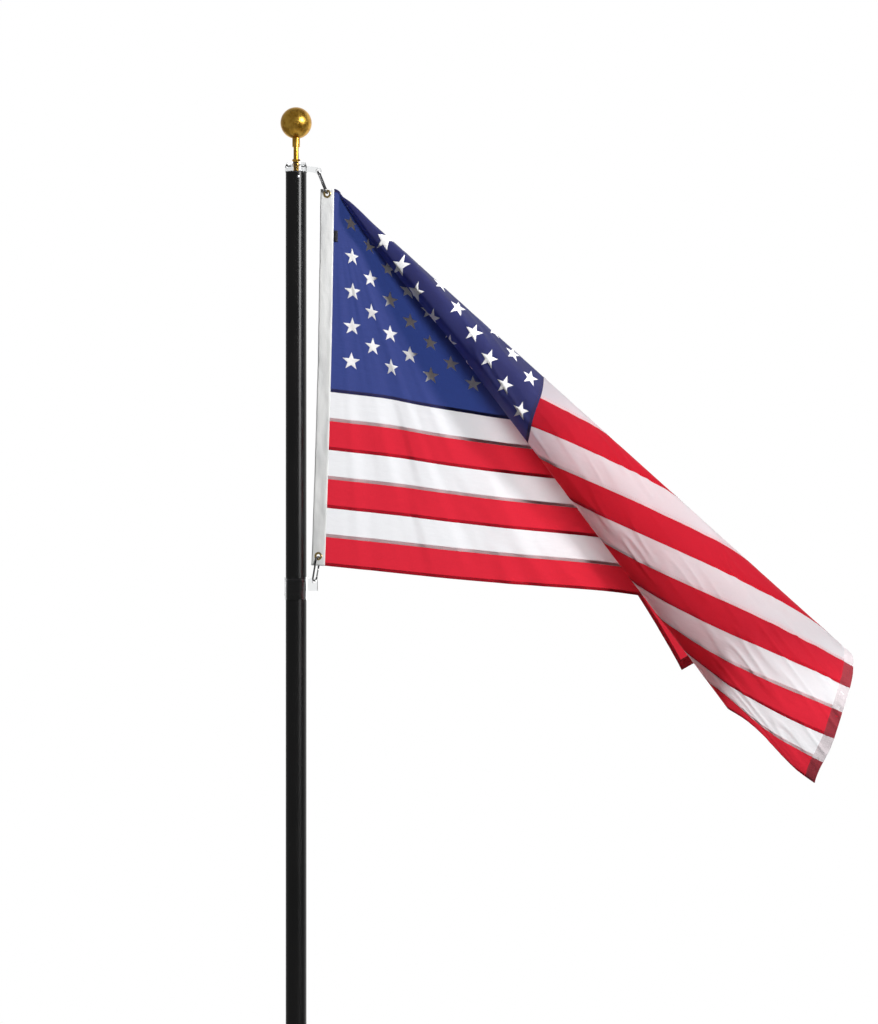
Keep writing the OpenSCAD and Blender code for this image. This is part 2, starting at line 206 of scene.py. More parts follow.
def steelFinish(name, low, high, rough):
    finish = newFinish(name)
    place = finish.place()
    brushed = finish.noise(finish.stretched(place, (400, 400, 2400)), 1.0, 2.0)
    stain = finish.noise(place, 180.0, 4.0)
    colour = finish.tint(stain.ramp(0.35, 0.7), low, high)
    return finish.show(finish.principled({
        "Base Color": colour, "Metallic": 1.0, "Roughness": rough + brushed * 0.16,
        "Normal": finish.bump(brushed, 0.06, 0.0002)}))


# clear moulded plastic: flow lines and scuffs
def clearFinish():
    finish = newFinish("clearMoulded")
    place = finish.place()
    flow = finish.noise(finish.stretched(place, (120, 120, 330)), 1.0, 2.0)
    scuff = finish.noise(place, 240.0, 4.0).ramp(0.55, 0.8)
    return finish.show(finish.principled({
        "Base Color": finish.tint(scuff, rgb(0.885, 0.895, 0.9), rgb(0.8, 0.82, 0.83)),
        "Roughness": 0.02 + scuff * 0.08,
        "IOR": 1.46,
        "Transmission Weight": 1.0,
        "Normal": finish.bump(flow, 0.05, 0.0008),
    }))


# woven nylon: slubs both ways, a satin face, and light that comes through from behind
# each hem look is the stripe's own nylon with darker face and through colours: painted shade of the
# turned-in layers at the fly
nylonLook = {
    "red": {"passing": 0.66, "face": rgb(0.5, 0.018, 0.036), "through": rgb(0.85, 0.03, 0.055),
            "hemShaded": {"face": rgb(0.26, 0.035, 0.045), "through": rgb(0.4, 0.03, 0.05)}},
    "white": {"passing": 0.68, "face": rgb(0.75, 0.75, 0.78), "through": rgb(0.94, 0.95, 0.97),
              "hemShaded": {"face": rgb(0.56, 0.5, 0.52), "through": rgb(0.7, 0.66, 0.68)}},
    "blue": {"passing": 0.46, "face": rgb(0.038, 0.037, 0.1), "through": rgb(0.058, 0.112, 0.465)},
}
seamPassing, hemPassing = 0.3, 0.12


def weave(finish, cut):
    across = finish.noise(finish.stretched(cut, (60, 1300, 1)), 1.0, 1.0)
    along = finish.noise(finish.stretched(cut, (1300, 60, 1)), 1.0, 1.0)
    return (across + along) * 0.5


def nylonFinish(name, look, passing):
    finish = newFinish(name)
    cut = finish.add("UVMap", {"uv_map": "cut"})
    threads = weave(finish, cut)
    crumple = finish.noise(finish.stretched(cut, (26, 60, 1)), 1.0, 4.0)
    shade = finish.noise(finish.stretched(cut, (5, 9, 1)), 1.0, 3.0)
    worn = (shade * 0.5 + threads * 0.5).ramp(0.3, 0.7)
    face = finish.tint(worn * 0.22, look["face"], finish.tint(0.5, look["face"], look["through"]))
    through = finish.tint(threads.ramp(0.35, 0.65) * 0.2, look["through"], look["face"])
    normal = finish.bump(crumple + threads * 0.06, 0.25, 0.004)
    body = finish.principled({
        "Base Color": face, "Roughness": 0.42 + threads * 0.2, "Specular IOR Level": 0.22,
        "Sheen Weight": 0.06, "Sheen Roughness": 0.4, "Normal": normal})
    glow = finish.add("BsdfTranslucent", {}, {"Color": through, "Normal": normal})
    return finish.show(finish.add("MixShader", {}, (passing - threads * 0.1, body, glow)))


# star thread: satin stitches that run across each star
def starFinish():
    finish = newFinish("starThread")
    cut = finish.add("UVMap", {"uv_map": "cut"})
    stitch = finish.noise(finish.stretched(cut, (1700, 160, 1)), 1.0, 1.0)
    tone = finish.noise(finish.stretched(cut, (24, 24, 1)), 1.0, 2.0)
    colour = finish.tint(stitch.ramp(0.35, 0.65), rgb(0.72, 0.71, 0.7), rgb(0.84, 0.84, 0.85))
    normal = finish.bump(stitch, 0.35, 0.0006)
    body = finish.principled({
        "Base Color": colour, "Roughness": 0.4 + tone * 0.2, "Sheen Weight": 0.2, "Normal": normal})
    # the thread's warm dark through colour is painted shade: it browns the stars that lie in the fold's
    # shadow
    glow = finish.add("BsdfTranslucent", {}, {"Color": rgb(0.68, 0.46, 0.4), "Normal": normal})
    return finish.show(finish.add("MixShader", {}, (0.05 - stitch * 0.02, body, glow)))


def threadFinish(name, low, high):
    finish = newFinish(name)
    twist = finish.noise(finish.place(), 2200.0, 1.0)
    return finish.show(finish.principled({
        "Base Color": finish.tint(twist.ramp(0.35, 0.65), low, high),
        "Roughness": 0.5 + twist * 0.2, "Normal": finish.bump(twist, 0.3, 0.0003)}))


# canvas tape of the header: coarse weave, crease bumps, and grey streaks that are partly soil and partly
# painted crease shade
def canvasFinish():
    finish = newFinish("headerCanvas")
    cut = finish.add("UVMap", {"uv_map": "cut"})
    threads = weave(finish, finish.stretched(cut, (0.6, 0.6, 1)))
    crease = finish.noise(finish.stretched(cut, (40, 17, 1)), 1.0, 5.0, 0.6)
    # grey streaks: soil, and painted shade of the creases
    soilAndCreaseShade = finish.noise(finish.stretched(cut, (30, 6, 1)), 1.0, 4.0)
    colour = finish.tint(soilAndCreaseShade.ramp(0.42, 0.7) * 0.6, rgb(0.8, 0.8, 0.79), rgb(0.53, 0.54, 0.55))
    normal = finish.bump(crease + threads * 0.25, 0.5, 0.003)
    body = finish.principled({
        "Base Color": colour, "Roughness": 0.7 + threads * 0.15, "Sheen Weight": 0.2, "Normal": normal})
    glow = finish.add("BsdfTranslucent", {}, {"Color": rgb(0.8, 0.81, 0.81), "Normal": normal})
    return finish.show(finish.add("MixShader", {}, (0.3 - threads * 0.08, body, glow)))


finishes = {
    "pole": poleFinish(),
    "plug": plugFinish(),
    "gold": goldFinish(goldLook),
    "clear": clearFinish(),
    "screw": steelFinish("screwBright", rgb(0.62, 0.63, 0.65), rgb(0.86, 0.87, 0.88), 0.16),
    "clip": steelFinish("clipDark", rgb(0.07, 0.07, 0.075), rgb(0.2, 0.2, 0.21), 0.25),
    "gate": steelFinish("gateBright", rgb(0.72, 0.73, 0.75), rgb(0.9, 0.9, 0.91), 0.14),
    "brass": steelFinish("grommetBrass", rgb(0.5, 0.35, 0.13), rgb(0.8, 0.62, 0.3), 0.18),
    "canvas": canvasFinish(),
    "star": starFinish(),
    "threadLight": threadFinish("threadLight", rgb(0.5, 0.47, 0.46), rgb(0.72, 0.7, 0.69)),
    # near-black tab thread: painted shade of the tab seen through the backlit cloth
    "shadeTab": threadFinish("tabPaintedShade", rgb(0.012, 0.012, 0.016), rgb(0.035, 0.035, 0.045)),
    "threadDark": threadFinish("threadDark", rgb(0.05, 0.012, 0.025), rgb(0.12, 0.03, 0.05)),
}
for tone, look in nylonLook.items():
    finishes[tone] = nylonFinish("nylon" + tone.title(), look, look["passing"])
    finishes[tone + "Seam"] = nylonFinish("nylonSeam" + tone.title(), look, seamPassing)
    # hem finishes: darker copies of the nylon, painted shade of the fly hem
    if "hemShaded" in look:
        finishes[tone + "HemShaded"] = nylonFinish("nylonHemShaded" + tone.title(), look["hemShaded"], hemPassing)

nodeFinish = {
    "pole": ["pole_section_%d" % n for n in range(1, 6)],
    "plug": ["foot_plug", "top_plug"],
    "gold": ["finial_stem", "finial_nut", "finial_ball"],
    "clear": ["ring_stop", "top_ring", "lower_ring"],
    "screw": ["plug_screw"],
    "clip": ["upper_clip_body", "lower_clip_body"],
    "gate": ["upper_clip_gate", "lower_clip_gate"],
    "brass": ["upper_grommet", "lower_grommet"],
}
for look, names in nodeFinish.items():
    for name in names:
        data = nodes[name].data
        data.materials.clear()
        data.materials.append(finishes[look])
print("finishes made:", len(finishes))

# the flag's cut and its folds, in metres and degrees
flag = {
    "hoist": 0.9144, "fly": 1.5, "cantonWidth": 0.632, "stripes": 13, "cantonRows": 7,
    "headerWidth": 0.035, "lean": 1.5, "droop": 0.1129, "droopFall": 0.942, "droopMore": 0.0109,
    "foldNear": 0.001, "foldFar": 0.034, "swell": 0.5, "bow": 0.0034, "bowReach": (0, 0.5),
    "cornerBearing": 85.0,
    "gather": 0.056, "gatherReach": (0.5, 1.4), "gatherBearing": (64, 80),
}
folds = {
    "frontSpan": 45.1, "hiddenFold": 0.65, "pleatTurn": 182, "pleatSpan": 4.4, "rimFold": 0.65,
    "rimTurn": 28, "outerFold": 7.9, "outerTurn": -45, "ridgeFold": 1.1, "backTurn": -108,
    "backFold": 11, "backRound": 115, "backSpan": 6,
}
# near the top corner the rim tucks in and the outer part stands further forward; far out it swells
# size, then the reach from the corner and the bearings over which it comes and goes
tuck = {"size": 4.5, "reach": (0, 0.5), "rise": (45.8, 50.5), "fall": (53, 62)}
lobe = {
    "size": 8.6, "reach": (0.3, 1.1), "nearSize": 14.0, "nearReach": (0.03, 0.16), "start": (0.0, 0.06),
    "rise": (50.8, 55.2), "fall": (59.5, 65.0), "aside": (0.45, 0.24), "asideReach": (0.2, 0.45),
    "out": 0.009,
}
bulge = {"size": 0.0127, "reach": (1.2, 1.75), "rise": (54, 58.5), "fall": (62, 66)}
# bearing in the cut, with the drift of the folds there over a metre and over a square metre
drift = {
    0: (0, 0), 15: (-0.99, 0), 25: (2.28, 0), 34: (3.62, 0), 44: (3.02, -6.23), 50: (1.32, 4.08),
    55: (-0.8, 0.84), 60: (-1.45, 1.35), 66: (-0.03, -1.19), 75: (-1.67, 2.64), 84: (2.64, 7.57),
}
stripeWidth = flag["hoist"] / flag["stripes"]
cantonDepth = stripeWidth * flag["cantonRows"]
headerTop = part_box("flag_header")[1]
cornerDrop = flag["headerWidth"] * math.sin(math.radians(flag["lean"]))
corner = np.array([headerTop.x, 0, headerTop.z - cornerDrop])


def ease(low, high, x):
    q = np.clip((x - low) / (high - low), 0, 1)
    return q * q * (3 - 2 * q)


# comes in over one stretch of bearings and goes out over another
def between(zone, x):
    return ease(*zone["rise"], x) * (1 - ease(*zone["fall"], x))


# a smooth curve through the values of a dictionary
def throughKnots(x, knots):
    at, value = np.array(list(knots), float), np.array(list(knots.values()), float)
    gap = np.diff(at)[:, None]
    rise = np.diff(value, axis=0) / gap
    inner = (rise[:-1] * gap[1:] + rise[1:] * gap[:-1]) / (gap[1:] + gap[:-1])
    slope = np.concatenate([rise[:1], inner, rise[-1:]])
    x = np.clip(x, at[0], at[-1])
    i = np.clip(np.searchsorted(at, x, side="right") - 1, 0, len(at) - 2)
    q = ((x - at[i]) / gap[i, 0])[..., None]
    bent = (slope[i] * (1 - q) - slope[i + 1] * q) * gap[i] * q * (1 - q)
    return value[i] * (1 + 2 * q) * (1 - q) ** 2 + value[i + 1] * q * q * (3 - 2 * q) + bent


def heading(swing, lift):
    u, v = np.radians(swing), np.radians(lift)
    return np.stack([np.cos(v) * np.sin(u), -np.sin(v), -np.cos(v) * np.cos(u)], -1)


# path of the folds over a sphere round the top corner: straight legs (no radius) and round bends
def foldTrail(f):
    moves = [
        (f["frontSpan"], 0), (f["pleatTurn"], f["hiddenFold"]), (f["pleatSpan"], 0),
        (f["rimTurn"], f["rimFold"]), (f["outerTurn"], f["outerFold"]), (f["backTurn"], f["ridgeFold"]),
        (f["backTurn"] - f["backRound"], f["backFold"]), (f["backSpan"], 0),
    ]
    spot = np.array([-flag["lean"], 0.0])
    trail = [spot]
    turn = 0.0
    for amount, radius in moves:
        share = np.linspace(0, 1, 41)[1:, None]
        if radius == 0:
            way = np.array([math.cos(math.radians(turn)), math.sin(math.radians(turn))])
            trail += list(spot + way * amount * share)
        else:
            side = 1 if amount > turn else -1
            start = math.radians(turn)
            middle = spot + side * radius * np.array([-math.sin(start), math.cos(start)])
            a = np.radians(turn + (amount - turn) * share)
            trail += list(middle + side * radius * np.concatenate([np.sin(a), -np.cos(a)], 1))
            turn = amount
        spot = trail[-1]
    trail = np.array(trail)
    chords = np.linalg.norm(np.diff(heading(trail[:, 0], trail[:, 1]), axis=0), axis=1)
    marks = np.concatenate([[0], np.cumsum(np.degrees(2 * np.arcsin(chords / 2)))])
    return marks, trail


foldMarks, foldPath = foldTrail(folds)


def hoistBow(t):
    return flag["bow"] * np.sin(np.pi * np.clip(t / flag["hoist"], 0, 1))


def polar(s, t):
    droop = flag["droop"] * (1 - flag["droopFall"] * (t / flag["hoist"] - 0.5))
    low = t + s * (droop + flag["droopMore"] * s)
    r = np.hypot(s, low)
    b = np.where(r < 1e-9, flag["cornerBearing"], np.degrees(np.arctan2(s, low)))
    w = ease(flag["foldNear"], flag["foldFar"], r)
    far = r - flag["hoist"]
    shift = throughKnots(b, drift)
    e = b + w * (shift[..., 0] * far + shift[..., 1] * far * far)
    return r, b, w, e


def folded(s, t):
    r, b, w, e = polar(s, t)
    grown = 1 + flag["swell"] * (r / (flag["hoist"] + flag["fly"])) ** 2 * 2
    tucked = tuck["size"] * (1 - ease(*tuck["reach"], r)) * between(tuck, e)
    forward = lobe["size"] * (1 - ease(*lobe["reach"], r))
    forward = forward + lobe["nearSize"] * (1 - ease(*lobe["nearReach"], r))
    forward = forward * ease(*lobe["start"], r) * between(lobe, e)
    aside = lobe["aside"][0] + (lobe["aside"][1] - lobe["aside"][0]) * ease(*lobe["asideReach"], r)
    swing = np.interp(e, foldMarks, foldPath[:, 0]) - tucked + forward * aside
    lift = np.interp(e, foldMarks, foldPath[:, 1]) * grown + forward
    swollen = bulge["size"] * ease(*bulge["reach"], r) * between(bulge, e)
    gathered = flag["gather"] * ease(*flag["gatherReach"], r) * ease(*flag["gatherBearing"], e)
    drawn = r * (1 - gathered) * (1 + swollen + forward * lobe["out"])
    place = corner + drawn[..., None] * heading((1 - w) * (b - flag["lean"]) + w * swing, w * lift)
    place[..., 0] += hoistBow(t) * (1 - ease(*flag["bowReach"], s))
    return place


noiseGrid = (97, 89)


def softNoise(x, y, seed):
    grid = np.random.default_rng(seed).random(noiseGrid) * 2 - 1
    i, j = np.floor(x).astype(int), np.floor(y).astype(int)
    p, q = x - i, y - j
    p, q = p * p * (3 - 2 * p), q * q * (3 - 2 * q)

    def pick(a, b):
        return grid[(i + a) % noiseGrid[0], (j + b) % noiseGrid[1]]

    near, far = pick(0, 0) * (1 - p) + pick(1, 0) * p, pick(0, 1) * (1 - p) + pick(1, 1) * p
    return near * (1 - q) + far * q


# small folds on the large ones: fans from the top corner, slanted creases, billows, puckered seams
# a grain is the size of one fold both ways: degrees and metres for a fan, metres for the others
creases = {
    "fanFront": 0.008, "fanGrain": (4.2, 0.3), "fineGrain": (1.9, 0.22), "fanBack": 0.0020,
    "backGrain": (2.4, 0.3), "fanReach": (0.04, 0.3), "billow": 0.0026, "billowGap": 0.21,
    "flutter": 0.006, "flutterGap": 0.31, "flutterReach": (1.1, 1.5), "slantFront": 0.0022,
    "slantOuter": 0.0042, "slantWay": (0.8, 0.6), "crestWidth": 0.36, "outerGrain": (0.021, 0.11),
    "frontGrain": (0.05, 0.2), "frontShear": 0.4, "patchGrain": (0.09, 0.16), "pucker": 0.0005,
    "puckerGap": 0.011, "puckerWidth": 0.009, "seamWidth": 0.008,
}
# bearings of the front panel, the outer part and the back layer
frontZone = {"rise": (1, 6), "fall": (40, 45)}
outerZone = {"rise": (53.5, 56), "fall": (62.5, 64.5)}
backRise = (65.5, 69)


# thin crests along one way of the cut
def slanted(s, t, seed, grain):
    along = s * creases["slantWay"][0] + t * creases["slantWay"][1]
    across = t * creases["slantWay"][0] - s * creases["slantWay"][1]
    level = softNoise(across / grain[0] + 40, along / grain[1] + 40, seed)
    gap, length = creases["patchGrain"]
    patch = softNoise(across / gap + 20, along / length + 20, seed + 50)
    return np.exp(-(level / creases["crestWidth"]) ** 2) * (0.5 + 0.5 * patch)


def creased(s, t):
    r, b, w, e = polar(s, t)
    front, outer, back = between(frontZone, e), between(outerZone, e), ease(*backRise, e)
    grow = r * ease(*creases["fanReach"], r)
    turn, length = creases["fanGrain"]
    rise = creases["fanFront"] * grow * front * softNoise(e / turn + 3, r / length, 4)
    turn, length = creases["fineGrain"]
    rise = rise + 0.5 * creases["fanFront"] * grow * front * softNoise(e / turn, r / length + 5, 5)
    turn, length = creases["backGrain"]
    rise = rise + creases["fanBack"] * grow * back * softNoise(e / turn, r / length, 7)
    slant = slanted(s, t, 6, creases["outerGrain"])
    rise = rise + creases["slantOuter"] * outer * ease(0.1, 0.6, r) * slant
    slant = slanted(s + t * creases["frontShear"], t, 12, creases["frontGrain"])
    rise = rise + creases["slantFront"] * front * ease(0.1, 0.4, s) * slant
    wave = np.sin(2 * np.pi * (s / creases["billowGap"] + 0.25 * softNoise(s * 3, t * 5, 8)))
    rise = rise + creases["billow"] * wave * front * ease(0.02, 0.12, s) * ease(0.35, 0.75, t)
    wave = np.sin(2 * np.pi * (t / creases["flutterGap"] + 0.2))
    rise = rise + creases["flutter"] * ease(*creases["flutterReach"], s) * wave * (outer + back)
    seam = np.abs((t / stripeWidth + 0.5) % 1 - 0.5) * stripeWidth
    beside = np.exp(-(seam / creases["puckerWidth"]) ** 2)
    return rise + creases["pucker"] * softNoise(s / creases["puckerGap"], t * 40, 9) * beside


def clothPoint(s, t, off=0.0):
    step = 0.0006
    base = folded(s, t)
    along = folded(s + step, t) - folded(np.maximum(s - step, 0), t)
    down = folded(s, t + step) - folded(s, np.maximum(t - step, 0))
    normal = np.cross(down, along)
    normal /= np.maximum(np.linalg.norm(normal, axis=-1, keepdims=True), 1e-12)
    return base + normal * (creased(s, t) + off)[..., None]


# collects points and faces of one mesh, each with its cut position and finish
class MeshMaker:
    def __init__(self):
        self.points, self.cuts, self.faces, self.looks = [], [], [], []
        self.count = 0

    def put(self, points, cuts, faces, look):
        self.points.append(np.reshape(points, (-1, 3)))
        self.cuts.append(np.reshape(cuts, (-1, 2)))
        self.faces += (np.asarray(faces) + self.count).tolist()
        self.looks += [look] * len(faces)
        self.count += self.points[-1].shape[0]

    def build(self, name, looks):
        data = bpy.data.meshes.new(name)
        data.from_pydata(np.concatenate(self.points).tolist(), [], self.faces)
        for look in looks:
            data.materials.append(finishes[look])
        data.polygons.foreach_set("material_index", self.looks)
        data.polygons.foreach_set("use_smooth", [True] * len(self.faces))
        layer = data.uv_layers.new(name="cut")
        corners = np.zeros(len(data.loops), int)
        data.loops.foreach_get("vertex_index", corners)
        layer.data.foreach_set("uv", np.concatenate(self.cuts)[corners].astype(np.float32).ravel())
        data.update()
        piece = bpy.data.objects.new(name, data)
        scene.collection.objects.link(piece)
        return piece


def gridFaces(rows, columns):
    a = (np.arange(rows - 1)[:, None] * columns + np.arange(columns - 1)).ravel()
    return np.stack([a, a + columns, a + columns + 1, a + 1], -1)


# a flat tube of folded cloth behind the sheet, along a line of the cut
def putBand(maker, s, t, inward, depths, look):
    ring = []
    cuts = []
    for share, depth in ((0, depths[0]), (0, depths[1]), (1, depths[1]), (1, depths[0])):
        rs, rt = s + inward[0] * share, t + inward[1] * share
        ring.append(clothPoint(rs, rt, np.full_like(rs, -depth)))
        cuts.append(np.stack([rs, rt], -1))
    n = len(s)
    faces = []
    for k in range(4):
        a = k * n + np.arange(n - 1)
        b = (k + 1) % 4 * n + np.arange(n - 1)
        faces.append(np.stack([a, a + 1, b + 1, b], -1))
    faces = np.concatenate(faces).tolist()
    faces += [[0, n, 2 * n, 3 * n], [4 * n - 1, 3 * n - 1, 2 * n - 1, n - 1]]
    maker.put(np.concatenate(ring), np.concatenate(cuts), faces, look)


# a row of stitches as small grains of thread, lying along the cut
stitch = {"pitch": 0.0052, "length": 0.0036, "width": 0.0009, "height": 0.0005}


def putStitches(maker, start, end, offs, look):
    start, end = np.array(start), np.array(end)
    span = np.linalg.norm(end - start)
    way = (end - start) / span
    aside = np.array([-way[1], way[0]])
    middles = start + np.arange(stitch["pitch"] / 2, span, stitch["pitch"])[:, None] * way
    grain = [(-0.5, 0, 0), (0, -0.5, 0), (0.5, 0, 0), (0, 0.5, 0), (0, 0, 1), (0, 0, -0.4)]
    shape = [(0, 1, 4), (1, 2, 4), (2, 3, 4), (3, 0, 4), (1, 0, 5), (2, 1, 5), (3, 2, 5), (0, 3, 5)]
    for off, side in offs:
        spots = []
        lifts = []
        for x, y, z in grain:
            spots.append(middles + way * x * stitch["length"] + aside * y * stitch["width"])
            lifts.append(np.full(len(middles), off + side * z * stitch["height"]))
        spots = np.stack(spots, 1)
        lifts = np.stack(lifts, 1)
        points = clothPoint(np.maximum(spots[..., 0], 0), np.maximum(spots[..., 1], 0), lifts)
        faces = np.arange(len(middles))[:, None, None] * 6 + np.array(shape)
        maker.put(points, spots, faces.reshape(-1, 3), look)


# seams lie along the lower edge of each stripe, and the fly end is turned in twice
sewing = {"step": 0.004, "fineSpan": 0.12, "fineStep": 0.0012, "rows": 24, "flyHemShaded": 0.021,
          "seamDepths": (0.0008, 0.0014), "hemDepths": (0.0010, 0.0018), "seamRows": (0.2, 0.8),
          "hemRows": (0.12, 0.37, 0.63, 0.9)}
# stitches lie on the front of the sheet and on the back of what is sewn behind it
seamFaces = ((0.0001, 1), (-0.0015, -1))
hemFaces = ((0.0001, 1), (-0.0019, -1))


def sewLine(maker, s, t, inward, look=0):
    putBand(maker, s, t, inward, sewing["seamDepths"], look)
    for share in sewing["seamRows"]:
        shift = np.array(inward) * share
        ends = np.array([[s[0], t[0]], [s[-1], t[-1]]]) + shift
        putStitches(maker, ends[0], ends[1], seamFaces, 1)


def dress(piece, sewn, node):
    for part in (piece, sewn):
        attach(part, "flag_set")
    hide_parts(node)


def makeStripe(number):
    tone = "red" if number % 2 else "white"
    other = "white" if number % 2 else "red"
    top, foot = (number - 1) * stripeWidth, number * stripeWidth
    start = 0.0 if number > flag["cantonRows"] else flag["cantonWidth"]
    columns = int(round((flag["fly"] - start) / sewing["step"])) + 1
    line = np.linspace(start, flag["fly"], columns)
    s, t = np.meshgrid(line, np.linspace(top, foot, sewing["rows"]))
    cloth, sewn = MeshMaker(), MeshMaker()
    cloth.put(clothPoint(s, t), np.stack([s, t], -1), gridFaces(*s.shape), 0)
    # columns inside the fly hem take the hem finish, whose darker colours are painted shade
    turned = line[1:] > flag["fly"] - sewing["flyHemShaded"]
    cloth.looks = np.tile(turned.astype(int), sewing["rows"] - 1).tolist()
    width = creases["seamWidth"]
    sewLine(sewn, line, np.full(columns, foot), (0, -width))
    if number == 1:
        sewLine(sewn, line, np.full(columns, top), (0, width), 2)
    drop = np.linspace(top, foot, sewing["rows"])
    edge = np.full(len(drop), flag["fly"])
    putBand(sewn, edge, drop, (-sewing["flyHemShaded"], 0), sewing["hemDepths"], 2)
    for share in sewing["hemRows"]:
        at = flag["fly"] - sewing["flyHemShaded"] * share
        putStitches(sewn, (at, top), (at, foot), hemFaces, 1)
    thread = "threadDark" if tone == "red" else "threadLight"
    under = tone if number == flag["stripes"] else other
    piece = cloth.build("stripe_cloth_%02d" % number, [tone, tone + "HemShaded"])
    seam = sewn.build("stripe_seam_%02d" % number, [under + "Seam", thread, tone + "Seam"])
    dress(piece, seam, "stripe_%02d" % number)


for number in range(1, flag["stripes"] + 1):
    makeStripe(number)
print("stripes made")

# corner panel: the star outlines are edges of its mesh, so each star is sewn in
stars = {"firstAcross": 0.0488, "stepAcross": 0.0546, "firstDown": 0.0742, "stepDown": 0.0423,
         "columns": 11, "rows": 9, "radius": 0.0221, "waist": 0.4, "border": 0.84, "rise": 0.0006,
         "clear": 0.0011}
# the tab lies on the front of the cloth, and its near-black finish is painted shade
shadeTab = {"span": (0.1, 0.128), "points": 8, "inset": 0.001, "width": 0.0095, "depths": (-0.0008, -0.0003)}


def starOutline(centre, radius):
    spots = []
    for k in range(10):
        a = math.pi * k / 5
        reach = radius * (stars["waist"] if k % 2 else 1)
        spots.append((centre[0] + reach * math.sin(a), centre[1] - reach * math.cos(a)))
    spots = np.array(spots)
    ahead = np.roll(spots, -1, 0)
    return np.concatenate([np.stack([spots[k], spots[k] * 0.5 + ahead[k] * 0.5]) for k in range(10)])


def distanceToLoop(points, loop):
    best = np.full(len(points), 1e9)
    for a, b in zip(loop, np.roll(loop, -1, 0)):
        way = b - a
        share = np.clip((points - a) @ way / (way @ way), 0, 1)
        best = np.minimum(best, np.linalg.norm(points - a - share[:, None] * way, axis=1))
    return best


def insideLoop(points, loop):
    inside = np.zeros(len(points), bool)
    for a, b in zip(loop, np.roll(loop, -1, 0)):
        crosses = (a[1] > points[:, 1]) != (b[1] > points[:, 1])
        at = a[0] + (points[:, 1] - a[1]) / (b[1] - a[1] + 1e-15) * (b[0] - a[0])
        inside ^= crosses & (points[:, 0] < at)
    return inside


# triangles over a rectangle of the cut, with loops as edges and a grid between them
def triangulate(sLine, tLine, loops, clear):
    s, t = np.meshgrid(sLine, tLine)
    grid = np.stack([s.ravel(), t.ravel()], -1)
    keep = np.ones(len(grid), bool)
    for loop in loops:
        low, high = loop.min(0) - 2 * clear, loop.max(0) + 2 * clear
        near = np.flatnonzero(((grid > low) & (grid < high)).all(1))
        keep[near[distanceToLoop(grid[near], loop) < clear]] = False
    points = [grid[keep]]
    edges = []
    count = int(keep.sum())
    for loop in loops:
        n = len(loop)
        edges += [(count + k, count + (k + 1) % n) for k in range(n)]
        points.append(loop)
        count += n
    points = np.concatenate(points)
    made = geometry.delaunay_2d_cdt([Vector(p) for p in points.tolist()], edges, [], 0, 1e-7)
    return np.array([tuple(v) for v in made[0]]), np.array([f for f in made[2]])


def starCentres():
    for row in range(stars["rows"]):
        for column in range(stars["columns"]):
            if (row + column) % 2 == 0:
                yield np.array([stars["firstAcross"] + column * stars["stepAcross"],
                                stars["firstDown"] + row * stars["stepDown"]])


# a line of the cut with closer steps near the top corner, where all the folds meet
def fineNear(length):
    near = sewing["fineSpan"]
    close = np.linspace(0, near, int(near / sewing["fineStep"]) + 1)
    wide = np.linspace(near, length, int((length - near) / sewing["step"]) + 1)
    return np.concatenate([close, wide[1:]])


def makeCanton():
    width, depth = flag["cantonWidth"], cantonDepth
    sLine, tLine = fineNear(width), fineNear(depth)
    loops = []
    for centre in starCentres():
        for radius in (stars["radius"], stars["radius"] * stars["border"]):
            loops.append(starOutline(centre, radius))
    points, faces = triangulate(sLine, tLine, loops, stars["clear"])
    centres = points[faces].mean(1)
    white = np.zeros(len(faces), bool)
    rise = np.zeros(len(points))
    for outer, inner in zip(loops[::2], loops[1::2]):
        low, high = outer.min(0), outer.max(0)
        near = np.flatnonzero(((centres > low) & (centres < high)).all(1))
        white[near] |= insideLoop(centres[near], outer)
        near = np.flatnonzero(((points > low) & (points < high)).all(1))
        within = insideLoop(points[near], inner) | (distanceToLoop(points[near], inner) < 1e-5)
        rise[near[within]] = stars["rise"]
    cloth, sewn = MeshMaker(), MeshMaker()
    cloth.put(clothPoint(points[:, 0], points[:, 1], rise), points, faces[:, ::-1], 0)
    cloth.looks = [1 if star else 0 for star in white]
    band = creases["seamWidth"]
    sewLine(sewn, sLine, np.full(len(sLine), depth), (0, -band))
    sewLine(sewn, sLine, np.zeros(len(sLine)), (0, band))
    sewLine(sewn, np.full(len(tLine), width), tLine, (-band, 0))
    # a dark tab at the hoist seam, laid on the front of the cloth: its near-black colour is painted shade
    # of the tab seen through the backlit cloth
    drop = np.linspace(*shadeTab["span"], shadeTab["points"])
    putBand(sewn, np.full(shadeTab["points"], shadeTab["inset"]), drop, (shadeTab["width"], 0), shadeTab["depths"], 2)
    piece = cloth.build("canton_cloth", ["blue", "star"])
    seam = sewn.build("canton_seam", ["blueSeam", "threadDark", "shadeTab"])
    dress(piece, seam, "flag_canton")


makeCanton()
print("corner panel made with its stars")

# header: doubled canvas tape with slack creases, pierced for the grommets
header = {"thick": 0.0018, "step": 0.0035, "ripple": 0.0012, "holeRadius": 0.0064, "holePoints": 24,
          "clear": 0.0012, "holeReach": (0.006, 0.03), "seamReach": (0, 0.012), "edge": 0.35,
          "edgeReach": (0, 0.003), "grommets": ("upper_grommet", "lower_grommet")}


